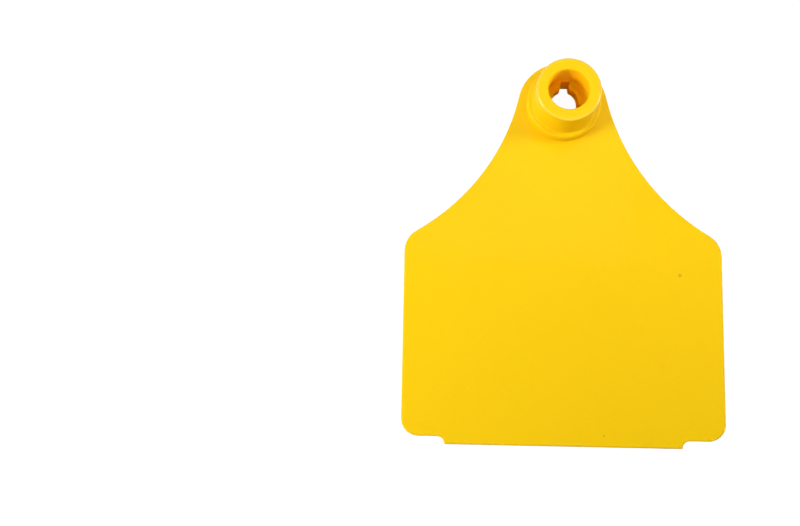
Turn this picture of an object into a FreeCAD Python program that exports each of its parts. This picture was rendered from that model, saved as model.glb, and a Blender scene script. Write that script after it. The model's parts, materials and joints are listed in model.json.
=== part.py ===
"""Female half of a large flag ear tag for cattle: one flat moulding with a tall collar.

The document's sheet holds every driving dimension in millimetres. The body's own
origin is on the axis of the stud hole, in the plane of the flat front face, with the
collar standing along +Z and the panel hanging towards -Y. The body's placement then
moves the origin to the middle of the tag's outline.
"""
import FreeCAD
import Part
import Sketcher
import math
import os

NODE = "tag_body"

DIMENSIONS = {
    # panel outline
    "tag_width": 95.0,
    "tag_height": 117.0,
    "panel_thickness": 1.6,
    "head_radius": 13.65,
    "flank_radius": 67.0,
    "shoulder_radius": 7.35,
    "shoulder_rise": 57.3,
    "corner_radius": 5.0,
    "tab_width": 69.5,
    "tab_step": 2.3,
    "back_edge_round": 0.4,
    "front_edge_bevel": 0.3,
    # collar, heights above the front face
    "ring_radius": 11.3,
    "ring_top": 5.6,
    "ring_round": 0.9,
    "tube_base_radius": 9.75,
    "tube_foot_round": 0.5,
    "collar_top": 18.0,
    "rim_radius": 9.65,
    "rim_round": 0.65,
    # bore above the web
    "bore_radius": 6.1,
    "mouth_bevel": 0.3,
    "web_top": 6.5,
    "web_root_bevel": 1.2,
    # keyed throat through the web
    "throat_radius": 3.9,
    "countersink_radius": 6.1,
    "countersink_depth": 1.95,
    "slot_width": 2.7,
    "slot_reach": 5.8,
    "slot_count": 3,
    "petal_round": 0.6,
    # moulding mark on the front face
    "mark_drop": 10.2,
    "mark_length": 2.0,
    "mark_width": 0.4,
    "mark_depth": 0.15,
}


# ---------------------------------------------------------------- document helpers

def make_sheet(doc):
    """Put every driving dimension in the sheet as a plain number with an alias."""
    sheet = doc.addObject("Spreadsheet::Sheet", "Dims")
    for row, (alias, value) in enumerate(DIMENSIONS.items(), start=1):
        sheet.set(f"A{row}", alias)
        sheet.set(f"B{row}", str(value))
        sheet.setAlias(f"B{row}", alias)
    doc.recompute()
    return sheet


def origin_feature(body, role):
    """One of the body's own origin planes or axes, such as XY_Plane or Z_Axis."""
    for feature in body.Origin.OriginFeatures:
        if feature.Role == role:
            return feature
    raise LookupError(role)


def new_sketch(body, name, plane):
    """An empty sketch on one of the body's origin planes."""
    sketch = body.newObject("Sketcher::SketchObject", name)
    sketch.AttachmentSupport = [(origin_feature(body, plane), "")]
    sketch.MapMode = "FlatFace"
    return sketch


def add_feature(body, kind, name, profile=None):
    """A PartDesign feature that becomes the body's tip."""
    feature = body.newObject(kind, name)
    if profile is not None:
        feature.Profile = profile
        profile.Visibility = False
    return feature


def size(sketch, name, kind, args, value, expression):
    """A named dimension of a sketch, bound to the sheet by an expression."""
    index = sketch.addConstraint(Sketcher.Constraint(kind, *args, value))
    sketch.renameConstraint(index, name)
    sketch.setExpression(f"Constraints.{name}", expression)


def vector(x, y):
    return FreeCAD.Vector(x, y, 0)


def arc_between(centre, radius, start, end):
    """A counter-clockwise arc from the angle start to the angle end."""
    circle = Part.Circle(vector(*centre), FreeCAD.Vector(0, 0, 1), radius)
    return Part.ArcOfCircle(circle, start, end)


# Sketcher's own numbers for a curve's points and for the sketch's two axes
START, END, CENTRE = range(1, 4)
X_AXIS, Y_AXIS = range(-1, -3, -1)
ROOT = (X_AXIS, START)


# ------------------------------------------------------------------- panel outline

def circle_touching_both(first, second):
    """Upper right centre at given distances from two (x, y, distance) centres."""
    x1, y1, d1 = first
    x2, y2, d2 = second
    gap = math.hypot(x2 - x1, y2 - y1)
    along = (d1 ** 2 - d2 ** 2 + gap ** 2) / (2 * gap)
    aside = math.sqrt(d1 ** 2 - along ** 2)
    ux, uy = (x2 - x1) / gap, (y2 - y1) / gap
    return x1 + along * ux - aside * uy, y1 + along * uy + aside * ux


def sketch_outline(body, dims):
    """The tag's outline: round head, hollow flanks, square panel and a bottom tab.

    The right half is drawn from the head down, then its mirror image, and the
    constraints join the two halves and hold the sizes.
    """
    sketch = new_sketch(body, "OutlineSketch", "XY_Plane")
    half_width = dims.tag_width / 2
    half_tab = dims.tab_width / 2
    bottom = dims.head_radius - dims.tag_height
    corner_line = bottom + dims.tab_step
    shoulder = (half_width - dims.shoulder_radius, bottom + dims.shoulder_rise)
    flank = circle_touching_both(
        (0, 0, dims.head_radius + dims.flank_radius),
        (*shoulder, dims.shoulder_radius + dims.flank_radius))
    head_angle = math.atan2(flank[1], flank[0])
    shoulder_angle = math.atan2(flank[1] - shoulder[1], flank[0] - shoulder[0])
    corner = (half_width - dims.corner_radius, corner_line + dims.corner_radius)
    notch = (half_tab + dims.tab_step, bottom)

    def add_side(sign):
        """Flank, shoulder, side, corner, corner edge and notch on one side."""
        def arc(centre, radius, start, end):
            if sign < 0:
                start, end = math.pi - end, math.pi - start
            return sketch.addGeometry(
                arc_between((sign * centre[0], centre[1]), radius, start, end))

        def line(start, end):
            return sketch.addGeometry(Part.LineSegment(
                vector(sign * start[0], start[1]), vector(sign * end[0], end[1])))

        return {
            "flank": arc(flank, dims.flank_radius,
                         head_angle + math.pi, shoulder_angle + math.pi),
            "shoulder": arc(shoulder, dims.shoulder_radius, 0, shoulder_angle),
            "side": line((half_width, shoulder[1]), (half_width, corner[1])),
            "corner": arc(corner, dims.corner_radius, -math.pi / 2, 0),
            "edge": line((corner[0], corner_line), (notch[0], corner_line)),
            "notch": arc(notch, dims.tab_step, math.pi / 2, math.pi),
        }

    head = sketch.addGeometry(
        arc_between((0, 0), dims.head_radius, head_angle, math.pi - head_angle))
    right = add_side(+1)
    left = add_side(-1)
    tab = sketch.addGeometry(
        Part.LineSegment(vector(half_tab, bottom), vector(-half_tab, bottom)))

    def join(kind, first, first_end, second, second_end):
        sketch.addConstraint(
            Sketcher.Constraint(kind, first, first_end, second, second_end))

    # an arc's start and end swap over when its side is mirrored
    join("Coincident", head, CENTRE, *ROOT)
    for side, near, far, head_end, tab_end in (
            (right, START, END, START, START), (left, END, START, END, END)):
        join("Tangent", head, head_end, side["flank"], near)
        join("Tangent", side["flank"], far, side["shoulder"], far)
        join("Tangent", side["shoulder"], near, side["side"], START)
        join("Tangent", side["side"], END, side["corner"], far)
        join("Tangent", side["corner"], near, side["edge"], START)
        join("Tangent", side["edge"], END, side["notch"], near)
        join("Coincident", side["notch"], far, tab, tab_end)
        sketch.addConstraint(Sketcher.Constraint("Vertical", side["side"]))
        sketch.addConstraint(Sketcher.Constraint("Horizontal", side["edge"]))
        join("Horizontal", side["notch"], CENTRE, side["notch"], far)
    join("Horizontal", right["shoulder"], CENTRE, left["shoulder"], CENTRE)
    sketch.addConstraint(Sketcher.Constraint(
        "Symmetric", tab, START, tab, END, Y_AXIS))
    sketch.addConstraint(Sketcher.Constraint(
        "Symmetric", right["side"], END, left["side"], END, Y_AXIS))
    for name, first, second in (("flank", right["flank"], left["flank"]),
                                ("shoulder", right["shoulder"], left["shoulder"]),
                                ("corner", right["corner"], left["corner"])):
        sketch.addConstraint(Sketcher.Constraint("Equal", first, second))
        radius = f"{name}_radius"
        size(sketch, radius, "Radius", (first,), getattr(dims, radius), f"Dims.{radius}")
    size(sketch, "head_radius", "Radius", (head,), dims.head_radius, "Dims.head_radius")
    size(sketch, "tag_width", "DistanceX",
         (left["side"], END, right["side"], END), dims.tag_width, "Dims.tag_width")
    size(sketch, "tab_width", "DistanceX",
         (tab, END, tab, START), dims.tab_width, "Dims.tab_width")
    size(sketch, "bottom_drop", "DistanceY",
         (tab, START, *ROOT), -bottom, "Dims.tag_height - Dims.head_radius")
    size(sketch, "tab_step", "DistanceY",
         (tab, START, right["edge"], END), dims.tab_step, "Dims.tab_step")
    size(sketch, "shoulder_rise", "DistanceY",
         (tab, START, right["shoulder"], CENTRE), dims.shoulder_rise, "Dims.shoulder_rise")
    return sketch


# --------------------------------------------------------------- revolved profiles

def sketch_profile(body, name, corners):
    """A closed profile beside the Z axis through (x, z) pairs of sheet expressions.

    Its sketch lies in the XZ plane, so that a revolution about the sketch's
    vertical axis turns it about the axis of the stud hole.
    """
    sketch = new_sketch(body, name, "XZ_Plane")
    sheet = body.Document.Dims

    def value(expression):
        """The number that an expression in sheet aliases stands for."""
        return float(sheet.evalExpression(expression.replace("Dims.", "")))

    points = [(value(x), value(z)) for x, z in corners]
    count = len(points)
    for index in range(count):
        after = (index + 1) % count
        sketch.addGeometry(Part.LineSegment(vector(*points[index]), vector(*points[after])))
    for index in range(count):
        after = (index + 1) % count
        sketch.addConstraint(Sketcher.Constraint("Coincident", index, END, after, START))
    for index, (x, z) in enumerate(corners):
        for label, kind, expression, number in (
                ("radius", "DistanceX", x, points[index][0]),
                ("height", "DistanceY", z, points[index][1])):
            if number == 0:
                axis = Y_AXIS if kind == "DistanceX" else X_AXIS
                sketch.addConstraint(
                    Sketcher.Constraint("PointOnObject", index, START, axis))
            else:
                size(sketch, f"{label}_{index}", kind,
                     (*ROOT, index, START), number, expression)
    return sketch


def turn(body, kind, name, profile):
    """A full revolution or groove of a profile about the stud hole's axis."""
    feature = add_feature(body, kind, name, profile)
    feature.ReferenceAxis = (profile, ["V_Axis"])
    feature.Angle = 360
    return feature


# ----------------------------------------------------------------- choosing edges

def circle_edges(shape, radius, height, tolerance=0.01):
    """Names of the edges that lie on a circle about the Z axis at a given height."""
    names = []
    for index, edge in enumerate(shape.Edges, start=1):
        curve = edge.Curve
        if not isinstance(curve, Part.Circle):
            continue
        on_axis = math.hypot(curve.Center.x, curve.Center.y) < tolerance
        level = abs(curve.Center.z - height) < tolerance
        if on_axis and level and abs(curve.Radius - radius) < tolerance:
            names.append(f"Edge{index}")
    return names


def level_edges(shape, height, tolerance=0.01):
    """Names of the edges that lie wholly in a horizontal plane at a given height."""
    names = []
    for index, edge in enumerate(shape.Edges, start=1):
        box = edge.BoundBox
        if abs(box.ZMin - height) < tolerance and abs(box.ZMax - height) < tolerance:
            names.append(f"Edge{index}")
    return names


def upright_edges(shape, radius, tolerance=0.05):
    """Names of the upright straight edges at a given distance from the Z axis."""
    names = []
    for index, edge in enumerate(shape.Edges, start=1):
        ends = [vertex.Point for vertex in edge.Vertexes]
        if len(ends) != 2:
            continue
        upright = math.hypot(ends[0].x - ends[1].x, ends[0].y - ends[1].y) < tolerance
        if upright and abs(math.hypot(ends[0].x, ends[0].y) - radius) < tolerance:
            names.append(f"Edge{index}")
    return names


def dress_edges(body, name, edges, alias):
    """Round or bevel the named edges of the body's tip by a size from the sheet.

    An alias that ends in _round makes a fillet, and one in _bevel a 45 degree chamfer.
    """
    kind, length = ("Fillet", "Radius") if alias.endswith("_round") else ("Chamfer", "Size")
    base = body.Tip
    feature = body.newObject(f"PartDesign::{kind}", name)
    feature.Base = (base, edges)
    feature.setExpression(length, f"Dims.{alias}")
    body.Document.recompute()
    return feature


# ------------------------------------------------------------------------ features

def build_panel(body, dims):
    """The flat panel, its outline rounded off at the back and bevelled at the front."""
    panel = add_feature(body, "PartDesign::Pad", "Panel", sketch_outline(body, dims))
    panel.setExpression("Length", "Dims.panel_thickness")
    body.Document.recompute()
    back = level_edges(body.Tip.Shape, dims.panel_thickness)
    dress_edges(body, "BackEdges", back, "back_edge_round")
    front = level_edges(body.Tip.Shape, 0)
    dress_edges(body, "FrontEdges", front, "front_edge_bevel")


def build_collar(body, dims):
    """The base ring and the tapered tube that stand on the panel."""
    profile = sketch_profile(body, "CollarSketch", [
        ("0", "Dims.panel_thickness / 2"),
        ("Dims.ring_radius", "Dims.panel_thickness / 2"),
        ("Dims.ring_radius", "Dims.ring_top"),
        ("Dims.tube_base_radius", "Dims.ring_top"),
        ("Dims.rim_radius", "Dims.collar_top"),
        ("0", "Dims.collar_top"),
    ])
    turn(body, "PartDesign::Revolution", "Collar", profile)
    body.Document.recompute()
    for name, radius, height, alias in (
            ("RingEdge", dims.ring_radius, dims.ring_top, "ring_round"),
            ("TubeFoot", dims.tube_base_radius, dims.ring_top, "tube_foot_round"),
            ("RimEdge", dims.rim_radius, dims.collar_top, "rim_round")):
        edges = circle_edges(body.Tip.Shape, radius, height)
        dress_edges(body, name, edges, alias)


def build_throat(body, dims):
    """The keyed throat: bore, web, countersink, slots and the petals between them.

    The male stud enters through the countersink, spreads the petals of the web
    and locks behind them, inside the bore.
    """
    doc = body.Document
    profile = sketch_profile(body, "BoreSketch", [
        ("0", "0"),
        ("Dims.countersink_radius", "0"),
        ("Dims.throat_radius", "Dims.countersink_depth"),
        ("Dims.throat_radius", "Dims.web_top"),
        ("Dims.bore_radius", "Dims.web_top"),
        ("Dims.bore_radius", "Dims.collar_top"),
        ("0", "Dims.collar_top"),
    ])
    turn(body, "PartDesign::Groove", "Bore", profile)
    doc.recompute()
    mouth = circle_edges(body.Tip.Shape, dims.bore_radius, dims.collar_top)
    dress_edges(body, "BoreMouth", mouth, "mouth_bevel")
    root = circle_edges(body.Tip.Shape, dims.bore_radius, dims.web_top)
    dress_edges(body, "WebRoot", root, "web_root_bevel")

    slot = add_feature(body, "PartDesign::Pocket", "Slot", sketch_slot(body, dims))
    slot.Reversed = True
    slot.setExpression("Length", "Dims.web_top + Dims.web_root_bevel")
    doc.recompute()
    slots = body.newObject("PartDesign::PolarPattern", "Slots")
    slots.Originals = [slot]
    slots.Axis = (origin_feature(body, "Z_Axis"), [""])
    slots.Angle = 360
    slots.setExpression("Occurrences", "Dims.slot_count")
    body.Tip = slots
    doc.recompute()
    petals = upright_edges(slots.Shape, dims.throat_radius)
    dress_edges(body, "PetalCorners", petals, "petal_round")


def sketch_rectangle(body, name, half_width, near, far, names):
    """A rectangle across the Y axis from y = near to y = far, both above or below 0.

    names gives the sheet expressions of its width, near distance and far distance.
    """
    sketch = new_sketch(body, name, "XY_Plane")
    corners = [(-half_width, near), (half_width, near), (half_width, far), (-half_width, far)]
    for index in range(4):
        sketch.addGeometry(Part.LineSegment(
            vector(*corners[index]), vector(*corners[(index + 1) % 4])))
    for index in range(4):
        sketch.addConstraint(
            Sketcher.Constraint("Coincident", index, END, (index + 1) % 4, START))
    sketch.addConstraint(Sketcher.Constraint("Vertical", 1))
    sketch.addConstraint(Sketcher.Constraint("Symmetric", 0, START, 0, END, Y_AXIS))
    sketch.addConstraint(Sketcher.Constraint("Symmetric", 2, START, 2, END, Y_AXIS))
    size(sketch, "width", "DistanceX", (0, START, 0, END), 2 * half_width, names[0])
    for label, line, distance, expression in (("near", 0, near, names[1]),
                                              ("far", 2, far, names[2])):
        if distance == 0:
            sketch.addConstraint(Sketcher.Constraint("PointOnObject", line, START, X_AXIS))
        elif distance > 0:
            size(sketch, label, "DistanceY", (*ROOT, line, START), distance, expression)
        else:
            size(sketch, label, "DistanceY", (line, START, *ROOT), -distance, expression)
    return sketch


def sketch_slot(body, dims):
    """The slot at twelve o'clock, from the hole's axis outwards."""
    return sketch_rectangle(body, "SlotSketch", dims.slot_width / 2, 0, dims.slot_reach,
                            ("Dims.slot_width", "", "Dims.slot_reach"))


def build_mark(body, dims):
    """The small upright moulding mark sunk in the front face below the hole."""
    near = -dims.mark_drop
    far = -(dims.mark_drop + dims.mark_length)
    sketch = sketch_rectangle(body, "MarkSketch", dims.mark_width / 2, near, far,
                              ("Dims.mark_width", "Dims.mark_drop",
                               "Dims.mark_drop + Dims.mark_length"))
    mark = add_feature(body, "PartDesign::Pocket", "MouldMark", sketch)
    mark.Reversed = True
    mark.setExpression("Length", "Dims.mark_depth")
    body.Document.recompute()


# --------------------------------------------------------------- building and files

def check(doc, body):
    """Stop with a message if any object failed or the solid isn't one valid solid."""
    for item in doc.Objects:
        if "Invalid" in item.State or "Error" in item.State:
            raise RuntimeError(f"{item.Name} is {item.State}")
    for item in doc.Objects:
        if item.TypeId == "Sketcher::SketchObject" and item.solve() != 0:
            raise RuntimeError(f"{item.Name} can't be solved")
    shape = body.Shape
    if shape.isNull() or not shape.isValid() or len(shape.Solids) != 1:
        raise RuntimeError(f"{body.Label} isn't one valid solid")


def main():
    doc = FreeCAD.newDocument("EarTag")
    dims = make_sheet(doc)
    body = doc.addObject("PartDesign::Body", NODE)
    body.Label = NODE
    build_panel(body, dims)
    build_collar(body, dims)
    build_throat(body, dims)
    build_mark(body, dims)
    body.setExpression("Placement.Base.y", "Dims.tag_height / 2 - Dims.head_radius")
    doc.recompute()
    check(doc, body)
    os.makedirs("parts", exist_ok=True)
    body.Shape.exportStep(f"parts/{NODE}.step")
    for item in doc.Objects:
        if hasattr(item, "Shape") and item.TypeId.startswith("PartDesign::"):
            print(f"{item.Name:14s} {item.Shape.Volume:10.2f} mm3")
    box = body.Shape.optimalBoundingBox()
    print(f"size {box.XLength:.2f} x {box.YLength:.2f} x {box.ZLength:.2f} mm")


main()
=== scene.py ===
"""Looks of the livestock ear tag: a soft yellow moulding lying on a pale studio floor."""

import json
import math

import bpy
from mathutils import Matrix, Vector


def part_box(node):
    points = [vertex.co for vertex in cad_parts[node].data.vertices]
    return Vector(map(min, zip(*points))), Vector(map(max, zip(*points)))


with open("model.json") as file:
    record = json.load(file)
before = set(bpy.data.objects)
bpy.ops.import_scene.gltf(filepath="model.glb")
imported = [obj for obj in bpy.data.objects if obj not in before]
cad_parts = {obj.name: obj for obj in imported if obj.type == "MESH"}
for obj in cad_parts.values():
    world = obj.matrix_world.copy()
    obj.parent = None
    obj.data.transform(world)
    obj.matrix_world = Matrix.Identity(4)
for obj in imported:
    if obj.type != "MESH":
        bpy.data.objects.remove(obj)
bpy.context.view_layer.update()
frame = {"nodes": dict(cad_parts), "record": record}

MM = 0.001
tag = frame["nodes"]["tag_body"]
bore = next(m for m in frame["record"]["mounts"] if m["name"] == "collar_bore")
BORE_RADIUS = bore["dims"]["r_mm"] * MM
hole_axis = Vector((bore["pos_m"][0], bore["pos_m"][1], 0))
COLLAR_TOP = Vector(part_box("tag_body")[1]).z
PANEL_TOP = 1.6 * MM
RIM_RADIUS = 9.65 * MM

# the viewpoint: a camera over a table, with the tag off to the right of the table's centre
LENS = 61.05
SENSOR = 36.0
CAMERA_TILT = math.radians(10.898)
CAMERA_ROLL = math.radians(-0.134)
CAMERA_DISTANCE = 407.08 * MM
CAMERA_CLIP = 10 * MM
TAG_PLACE = Vector((49.90, 48.51, 0)) * MM
TAG_TURN = math.radians(-1.322)

# the soft boxes: name, direction round the collar and height above the table in degrees,
# distance and side in metres, power in watts
SOFT_BOXES = (
    ("key_left_near", 196, 35, 0.29, 0.11, 0.38),
    ("key_left_far", 196, 35, 0.70, 0.26, 1.40),
    ("key_right", 4, 38, 0.28, 0.08, 0.38),
    ("over_collar", 90, 80, 0.14, 0.09, 0.045),
    ("front_fill", 262, 40, 0.50, 0.25, 0.36),
    ("kicker_left", 138, 27, 0.50, 0.07, 0.12),
    ("kicker_right", 44, 27, 0.50, 0.07, 0.12),
)
WORLD_STRENGTH = 0.06
WHITE = (1, 1, 1, 1)

# the floor: its own grey, which lights the tag, and the bright paper that the camera sees
FLOOR_HALF = 3.0
FLOOR_GREY = (0.85, 0.85, 0.85, 1)
FLOOR_ROUGHNESS = 0.9
PAPER_GREY = (0.12, 0.12, 0.12, 1)
PAPER_GLOW = 0.96

# pigment, with a brighter orange in the bore that is a painted glow of light through the walls
YELLOW = (0.95, 0.60, 0.004, 1)
YELLOW_DRIFT = (0.945, 0.592, 0.004, 1)
YELLOW_SPECKLE = (0.92, 0.575, 0.004, 1)
BORE_PAINTED_GLOW = (0.99, 0.60, 0.002, 1)
MARK_BROWN = (0.45, 0.24, 0.01, 1)
SPECKLE_SHARE = 0.5

# noise scales, in waves per metre
DRIFT_SCALE = 16.0
SPECKLE_SCALE = 1400.0
HANDLED_SCALE = 60.0
GRAIN_SCALE = 2400.0
WAVE_SCALE = 45.0

# skin
SATIN = (0.44, 0.56)
BORE_ROUGHNESS = 0.9
SPECULAR = 0.04
COAT_FLAT, COAT_EDGE = 0.06, 1.0
COAT_ROUGHNESS = 0.12
SCATTER_SKIN, SCATTER_BORE = 0.12, 0.9
SCATTER_COLOUR = (1.5, 0.3, 0.05)
SCATTER_DEPTH = 4 * MM

# relief
RIM_RING_PITCH = 0.5 * MM
RIM_RING_SHARE = 0.35
GRAIN_HEIGHT, GRAIN_STRENGTH = 0.02 * MM, 0.5
WAVE_HEIGHT, WAVE_STRENGTH = 0.5 * MM, 0.3

# small dark marks on the panel: x, y and radius in millimetres, and how dark
MARKS = (
    (34.8, -7.2, 0.75, 0.55),
    (11.8, -55.2, 0.40, 0.55),
)
MARK_CORE = 0.3


class Nodes:
    """A node tree, with one short call for each kind of node it uses."""

    def __init__(self, tree):
        self.tree = tree

    def add(self, kind, inputs=None, **settings):
        node = self.tree.nodes.new("ShaderNode" + kind)
        for key, value in settings.items():
            setattr(node, key, value)
        for key, value in (inputs or {}).items():
            self.put(value, node.inputs[key])
        return node

    def put(self, value, socket):
        if isinstance(value, bpy.types.NodeSocket):
            self.tree.links.new(value, socket)
        else:
            socket.default_value = value

    def noise(self, place, scale, detail=2.0):
        return self.add("TexNoise", {"Vector": place, "Scale": scale,
                                     "Detail": detail}).outputs["Fac"]

    def ramp(self, value, low, high, to_low=0.0, to_high=1.0):
        node = self.add("MapRange", {"Value": value, "From Min": low, "From Max": high,
                                     "To Min": to_low, "To Max": to_high},
                        interpolation_type="SMOOTHSTEP")
        return node.outputs["Result"]

    def math(self, operation, a, b):
        return self.add("Math", {0: a, 1: b}, operation=operation).outputs["Value"]

    def mix(self, factor, a, b):
        node = self.add("Mix", data_type="RGBA")
        self.put(factor, node.inputs["Factor"])
        self.put(a, node.inputs["A"])
        self.put(b, node.inputs["B"])
        return node.outputs["Result"]

    def seen_or_mirrored(self):
        """1 for the rays that show the background: straight, in a mirror or through glass."""
        rays = self.add("LightPath").outputs
        beyond = self.math("MAXIMUM", rays["Is Glossy Ray"], rays["Is Transmission Ray"])
        return self.math("MAXIMUM", rays["Is Camera Ray"], beyond)


def new_material(name):
    material = bpy.data.materials.new(name)
    material.use_nodes = True
    nodes = Nodes(material.node_tree)
    return material, nodes, nodes.tree.nodes["Principled BSDF"]


def make_camera():
    """Place the camera in the tag's own frame, from its place over the table."""
    right = Vector((1, 0, 0))
    up = Vector((0, math.cos(CAMERA_TILT), math.sin(CAMERA_TILT)))
    back = right.cross(up)
    over_table = Matrix((right, up, back)).transposed().to_4x4()
    over_table.translation = back * CAMERA_DISTANCE
    roll = Matrix.Rotation(CAMERA_ROLL, 4, "Z")
    to_tag = Matrix.Rotation(-TAG_TURN, 4, "Z") @ Matrix.Translation(-TAG_PLACE)
    camera = bpy.data.objects.new("camera", bpy.data.cameras.new("camera"))
    camera.data.sensor_width = SENSOR
    camera.data.lens = LENS
    camera.data.clip_start = CAMERA_CLIP
    camera.matrix_world = Matrix.Translation(hole_axis) @ to_tag @ over_table @ roll
    bpy.context.collection.objects.link(camera)
    bpy.context.scene.camera = camera


def add_pigment_and_painted_glow(n, shader, place, in_bore):
    """A slow drift and a fine speckle, a painted glow of brighter orange in the bore, and the
    small dark marks.
    """
    colour = n.mix(n.ramp(n.noise(place, DRIFT_SCALE), 0.30, 0.70), YELLOW, YELLOW_DRIFT)
    speckle = n.ramp(n.noise(place, SPECKLE_SCALE, detail=1.0), 0.52, 0.75, 0.0, SPECKLE_SHARE)
    colour = n.mix(speckle, colour, YELLOW_SPECKLE)
    # painted glow: the bore gets a brighter orange that stands in for light passing through
    # the thin walls
    colour = n.mix(in_bore, colour, BORE_PAINTED_GLOW)
    for x, y, size, depth in MARKS:
        spot = Vector((x, y, PANEL_TOP / MM)) * MM
        away = n.add("VectorMath", {0: place, 1: spot}, operation="DISTANCE").outputs["Value"]
        mark = n.ramp(away, MARK_CORE * size * MM, size * MM, depth, 0.0)
        colour = n.mix(mark, colour, MARK_BROWN)
    n.put(colour, shader.inputs["Base Color"])


def add_skin(n, shader, place, in_bore, radius, height):
    """Satin all over, with a glossy rounded edge on the rim, and a matt, glowing bore."""
    rough = n.ramp(n.noise(place, HANDLED_SCALE, detail=3.0), 0.25, 0.75, *SATIN)
    matt = n.math("MULTIPLY", in_bore, BORE_ROUGHNESS)
    n.put(n.math("MAXIMUM", rough, matt), shader.inputs["Roughness"])
    n.put(SPECULAR, shader.inputs["Specular IOR Level"])
    near_edge = n.ramp(radius, RIM_RADIUS - 0.8 * MM, RIM_RADIUS - 0.5 * MM)
    near_top = n.ramp(height, COLLAR_TOP - 1.4 * MM, COLLAR_TOP - 0.8 * MM)
    on_edge = n.math("MULTIPLY", near_edge, near_top)
    gloss = n.ramp(on_edge, 0.0, 1.0, COAT_FLAT, COAT_EDGE)
    outside = n.math("SUBTRACT", 1.0, in_bore)
    n.put(n.math("MULTIPLY", gloss, outside), shader.inputs["Coat Weight"])
    n.put(COAT_ROUGHNESS, shader.inputs["Coat Roughness"])
    scatter = n.ramp(in_bore, 0.0, 1.0, SCATTER_SKIN, SCATTER_BORE)
    n.put(scatter, shader.inputs["Subsurface Weight"])
    n.put(SCATTER_COLOUR, shader.inputs["Subsurface Radius"])
    n.put(SCATTER_DEPTH, shader.inputs["Subsurface Scale"])
    shader.subsurface_method = "BURLEY"


def add_relief(n, shader, place, radius, height):
    """The mould's fine grain, turned rings on the rim and a faint waviness."""
    turned = n.math("SINE", n.math("MULTIPLY", radius, 2 * math.pi / RIM_RING_PITCH), 0.0)
    on_rim = n.ramp(height, COLLAR_TOP - 0.4 * MM, COLLAR_TOP - 0.1 * MM, 0.0, RIM_RING_SHARE)
    grain = n.math("ADD", n.noise(place, GRAIN_SCALE, detail=3.0),
                   n.math("MULTIPLY", turned, on_rim))
    fine = n.add("Bump", {"Height": grain, "Strength": GRAIN_STRENGTH,
                          "Distance": GRAIN_HEIGHT})
    wave = n.add("Bump", {"Height": n.noise(place, WAVE_SCALE, detail=1.0),
                          "Strength": WAVE_STRENGTH, "Distance": WAVE_HEIGHT,
                          "Normal": fine.outputs["Normal"]})
    n.put(wave.outputs["Normal"], shader.inputs["Normal"])


def make_yellow_plastic():
    """Soft moulded polyurethane: an even pigment with a brighter orange painted into the bore
    as painted glow, a satin skin and a few small marks.
    """
    material, n, shader = new_material("yellow_plastic")
    place = n.add("TexCoord").outputs["Object"]
    away = n.add("VectorMath", {0: place, 1: hole_axis}, operation="SUBTRACT")
    along = n.add("SeparateXYZ", {"Vector": away.outputs["Vector"]}).outputs
    across = n.add("CombineXYZ", {"X": along["X"], "Y": along["Y"]}).outputs["Vector"]
    radius = n.add("VectorMath", {0: across}, operation="LENGTH").outputs["Value"]
    in_bore = n.ramp(radius, BORE_RADIUS - 0.1 * MM, BORE_RADIUS + 0.2 * MM, 1.0, 0.0)
    add_pigment_and_painted_glow(n, shader, place, in_bore)
    add_skin(n, shader, place, in_bore, radius, along["Z"])
    add_relief(n, shader, place, radius, along["Z"])
    return material


def make_floor():
    """A pale floor: white to the camera, with the tag's soft shadow kept on it."""
    half = FLOOR_HALF
    mesh = bpy.data.meshes.new("floor")
    mesh.from_pydata([(-half, -half, 0), (half, -half, 0), (half, half, 0), (-half, half, 0)],
                     [], [(0, 1, 2, 3)])
    floor = bpy.data.objects.new("floor", mesh)
    bpy.context.collection.objects.link(floor)
    material, n, shader = new_material("floor")
    n.put(FLOOR_GREY, shader.inputs["Base Color"])
    n.put(FLOOR_ROUGHNESS, shader.inputs["Roughness"])
    paper = n.add("BsdfDiffuse", {"Color": PAPER_GREY}).outputs["BSDF"]
    white = n.add("Emission", {"Strength": PAPER_GLOW}).outputs["Emission"]
    seen = n.add("AddShader", {0: paper, 1: white}).outputs["Shader"]
    mixed = n.add("MixShader", {0: n.seen_or_mirrored(), 1: shader.outputs["BSDF"], 2: seen})
    n.put(mixed.outputs["Shader"], n.tree.nodes["Material Output"].inputs["Surface"])
    mesh.materials.append(material)


def make_world():
    """A faint even light on the tag, and plain white behind it."""
    world = bpy.data.worlds.new("world")
    bpy.context.scene.world = world
    world.use_nodes = True
    n = Nodes(world.node_tree)
    glow = n.tree.nodes["Background"]
    n.put(WHITE, glow.inputs["Color"])
    n.put(WORLD_STRENGTH, glow.inputs["Strength"])
    backdrop = n.add("Background", {"Color": WHITE})
    mixed = n.add("MixShader", {0: n.seen_or_mirrored(), 1: glow.outputs["Background"],
                                2: backdrop.outputs["Background"]})
    n.put(mixed.outputs["Shader"], n.tree.nodes["World Output"].inputs["Surface"])


def make_lamps():
    """Square soft boxes, all aimed at the foot of the collar."""
    for name, around, height, distance, side, power in SOFT_BOXES:
        lamp = bpy.data.lights.new(name, "AREA")
        lamp.shape = "SQUARE"
        lamp.size = side
        lamp.energy = power
        box = bpy.data.objects.new(name, lamp)
        around, height = math.radians(around), math.radians(height)
        toward = Vector((math.cos(height) * math.cos(around),
                         math.cos(height) * math.sin(around), math.sin(height)))
        box.location = hole_axis + toward * distance
        box.rotation_euler = toward.to_track_quat("Z", "Y").to_euler()
        bpy.context.collection.objects.link(box)


make_camera()
tag.data.materials.clear()
tag.data.materials.append(make_yellow_plastic())
make_floor()
make_world()
make_lamps()
bpy.context.scene.view_settings.view_transform = "Standard"
